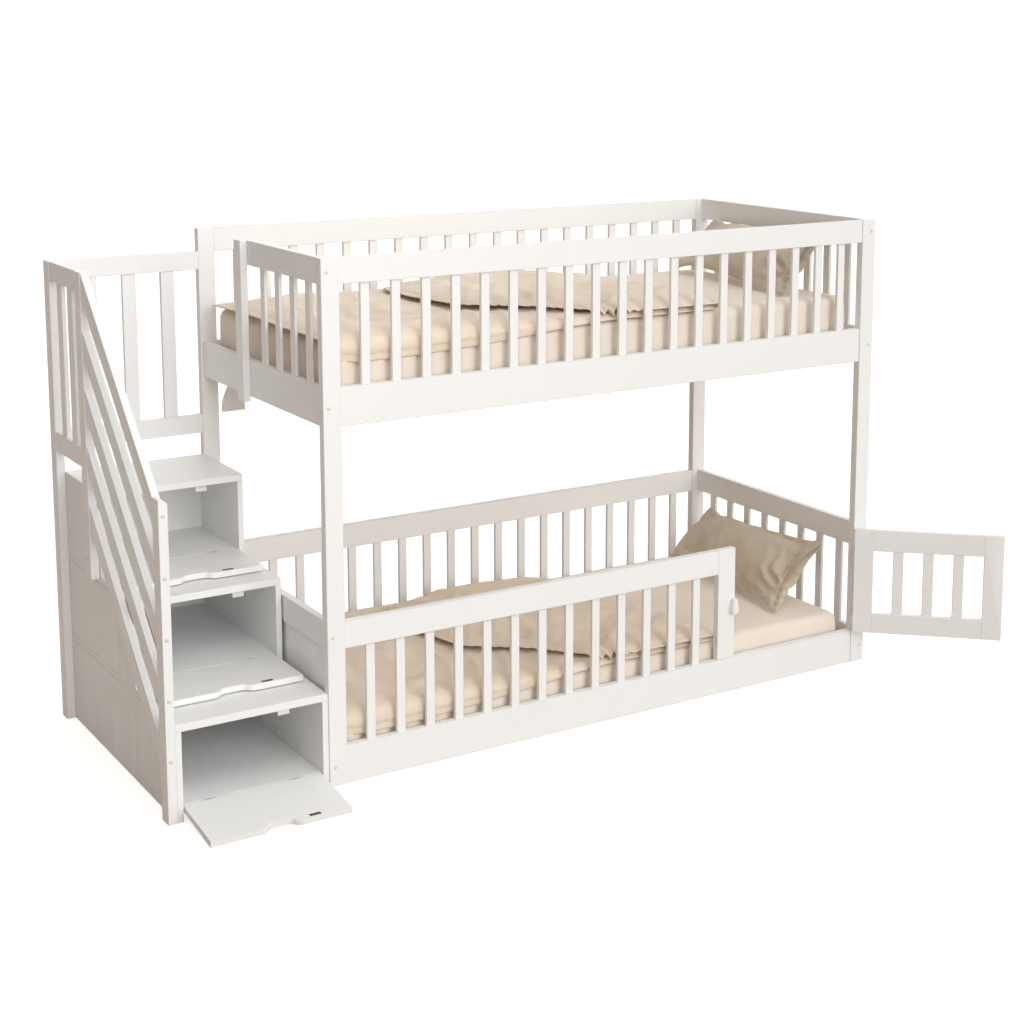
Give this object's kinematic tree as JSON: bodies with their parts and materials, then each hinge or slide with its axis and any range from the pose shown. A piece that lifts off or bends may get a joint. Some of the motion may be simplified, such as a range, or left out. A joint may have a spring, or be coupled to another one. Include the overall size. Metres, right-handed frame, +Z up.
{
  "type": "bunk bed with storage stairs",
  "caption": "Two single beds one above the other between corner posts, with guard rails, a swinging gate, and crate stairs with drop flaps and a handrail at one end.",
  "frame": {"origin": "middle of the foot of the front left corner post, on the floor", "axes": "+X along the bed from the stairs to the gate end, +Y from the front to the back, +Z up"},
  "size_m": [2.8629, 1.3317, 1.554],
  "materials": {
    "white_paint": "satin white paint on planed wood and board",
    "slat_pine": "bare planed pine",
    "mattress_cover": "soft woven cotton cover",
    "duvet_linen": "washed cotton, softly creased",
    "pillow_linen": "washed cotton, softly creased",
    "hinge_steel": "satin zinc plated",
    "latch_plastic": "moulded white plastic",
    "cap_plastic": "moulded pale beige plastic",
    "catch_plastic": "moulded white plastic"
  },
  "bodies": {
    "bed": {"bolt_caps": "cap_plastic", "crate_1_sides": "white_paint", "crate_2_sides": "white_paint", "crate_3_sides": "white_paint", "crate_backs": "white_paint", "crate_floors": "white_paint", "deck_ledgers": "slat_pine", "deck_slats": "slat_pine", "entry_post": "white_paint", "flap_hinge_floor_leaves": "hinge_steel", "flap_hinge_pins": "hinge_steel", "gate_hinge_pins": "hinge_steel", "gate_hinge_post_leaves": "hinge_steel", "gate_stop_post": "white_paint", "gusset_board": "white_paint", "handrails": "white_paint", "latch_base": "latch_plastic", "lower_back_guard_rail": "white_paint", "lower_back_guard_slats": "white_paint", "lower_duvet": "duvet_linen", "lower_end_guard_rails": "white_paint", "lower_end_rails": "white_paint", "lower_front_guard_rail": "white_paint", "lower_front_guard_slats": "white_paint", "lower_left_panel": "white_paint", "lower_mattress": "mattress_cover", "lower_pillow": "pillow_linen", "lower_side_rails": "white_paint", "magnet_catches": "catch_plastic", "newel_post": "white_paint", "post_back_left": "white_paint", "post_back_right": "white_paint", "post_front_left": "white_paint", "post_front_right": "white_paint", "right_guard_slats": "white_paint", "stair_guard_rails": "white_paint", "stair_guard_slats": "white_paint", "stair_middle_post": "white_paint", "stair_rear_post": "white_paint", "treads": "white_paint", "upper_back_guard_slats": "white_paint", "upper_duvet": "duvet_linen", "upper_end_guard_rails": "white_paint", "upper_end_rails": "white_paint", "upper_front_guard_slats": "white_paint", "upper_left_guard_slats": "white_paint", "upper_mattress": "mattress_cover", "upper_pillow": "pillow_linen", "upper_side_guard_rails": "white_paint", "upper_side_rails": "white_paint"},
    "gate": {"gate_frame": "white_paint", "gate_slats": "white_paint", "gate_hinge_leaves": "hinge_steel"},
    "flap_1": {"flap_1": "white_paint", "flap_1_hardware": "hinge_steel"},
    "flap_2": {"flap_2": "white_paint", "flap_2_hardware": "hinge_steel"},
    "flap_3": {"flap_3": "white_paint", "flap_3_hardware": "hinge_steel"},
    "latch_turn": {"latch_lever": "latch_plastic"}
  },
  "joints": [
    {"name": "gate_hinge", "type": "hinge", "parent": "bed", "child": "gate", "pos_m": [1.9735, -0.01825, 0.304], "axis": [0, 0, 1], "range_deg": [-137.4, 40]},
    {"name": "flap_1_hinge", "type": "hinge", "parent": "bed", "child": "flap_1", "pos_m": [-0.26025, 0.00655, 0.0428], "axis": [-1, 0, 0], "range_deg": [0, 97.27]},
    {"name": "flap_2_hinge", "type": "hinge", "parent": "bed", "child": "flap_2", "pos_m": [-0.26025, 0.32655, 0.3058], "axis": [-1, 0, 0], "range_deg": [0, 90]},
    {"name": "flap_3_hinge", "type": "hinge", "parent": "bed", "child": "flap_3", "pos_m": [-0.26025, 0.60755, 0.5688], "axis": [-1, 0, 0], "range_deg": [0, 90]},
    {"name": "latch_pivot", "type": "hinge", "parent": "bed", "child": "latch_turn", "pos_m": [1.4505, -0.02, 0.29], "axis": [0, 1, 0], "range_deg": [0, 90]}
  ]
}
